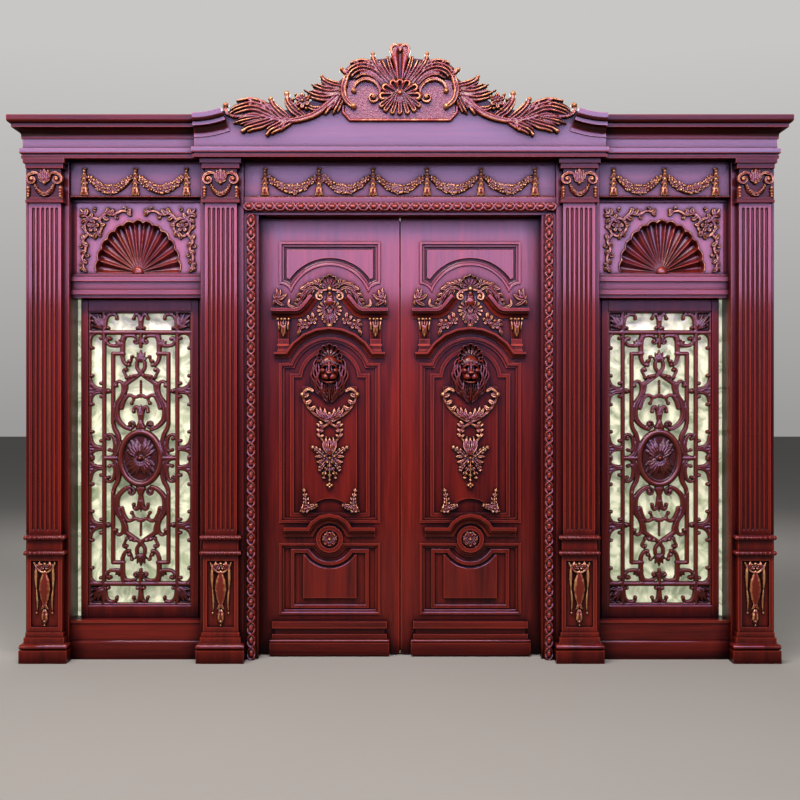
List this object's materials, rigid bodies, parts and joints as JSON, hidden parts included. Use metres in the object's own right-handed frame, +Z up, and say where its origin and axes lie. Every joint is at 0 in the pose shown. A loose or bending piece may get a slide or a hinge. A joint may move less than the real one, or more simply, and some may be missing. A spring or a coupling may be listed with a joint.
{
  "type": "carved double entrance door with sidelights",
  "caption": "Carved mahogany double entrance door in its frame, with lion-mask leaves, glazed grille sidelights, fluted pilasters, swag friezes and a carved crest.",
  "frame": {"origin": "centre of the footprint at floor level, on the mid-plane between the two leaves", "axes": "+X to the right seen from the front, +Y from the carved front to the wall side, +Z up"},
  "size_m": [4.668, 0.395, 3.6975],
  "materials": {
    "mahogany": "glossy",
    "gilded_wood": "satin",
    "art_glass": "glossy",
    "hinge_brass": "satin"
  },
  "bodies": {
    "frame": {"post_outer_left": "mahogany", "post_inner_left": "mahogany", "post_inner_right": "mahogany", "post_outer_right": "mahogany", "shaft_outer_left": "mahogany", "shaft_inner_left": "mahogany", "shaft_inner_right": "mahogany", "shaft_outer_right": "mahogany", "capital_outer_left": "gilded_wood", "capital_inner_left": "gilded_wood", "capital_inner_right": "gilded_wood", "capital_outer_right": "gilded_wood", "pedestal_outer_left": "mahogany", "pedestal_inner_left": "mahogany", "pedestal_inner_right": "mahogany", "pedestal_outer_right": "mahogany", "cornice_left": "mahogany", "cornice_right": "mahogany", "pediment": "mahogany", "crest_carving": "gilded_wood", "frieze_left": "mahogany", "frieze_center": "mahogany", "frieze_right": "mahogany", "swags_left": "gilded_wood", "swags_center": "gilded_wood", "swags_right": "gilded_wood", "shell_panel_left": "gilded_wood", "shell_panel_right": "gilded_wood", "grille_left": "gilded_wood", "grille_right": "gilded_wood", "glass_left": "art_glass", "glass_right": "art_glass", "base_panel_left": "mahogany", "base_panel_right": "mahogany", "jamb_left": "mahogany", "jamb_right": "mahogany", "head": "mahogany", "hinge_frame_leaves": "hinge_brass"},
    "left_leaf": {"leaf_frame_left": "mahogany", "upper_panel_left": "mahogany", "middle_panel_left": "mahogany", "lower_panel_left": "mahogany", "arch_cornice_left": "mahogany", "cartouche_left": "gilded_wood", "lion_mask_left": "gilded_wood", "garland_left": "gilded_wood", "lower_cornice_left": "mahogany", "leaf_base_left": "mahogany", "hinge_door_leaves_left": "hinge_brass"},
    "right_leaf": {"leaf_frame_right": "mahogany", "upper_panel_right": "mahogany", "middle_panel_right": "mahogany", "lower_panel_right": "mahogany", "arch_cornice_right": "mahogany", "cartouche_right": "gilded_wood", "lion_mask_right": "gilded_wood", "garland_right": "gilded_wood", "lower_cornice_right": "mahogany", "leaf_base_right": "mahogany", "hinge_door_leaves_right": "hinge_brass"}
  },
  "joints": [
    {"name": "left_leaf_swing", "type": "hinge", "parent": "frame", "child": "left_leaf", "pos_m": [-0.865, 0.1885, 0], "axis": [0, 0, 1], "range_deg": [0, 100]},
    {"name": "right_leaf_swing", "type": "hinge", "parent": "frame", "child": "right_leaf", "pos_m": [0.865, 0.1885, 0], "axis": [0, 0, -1], "range_deg": [0, 100]}
  ]
}
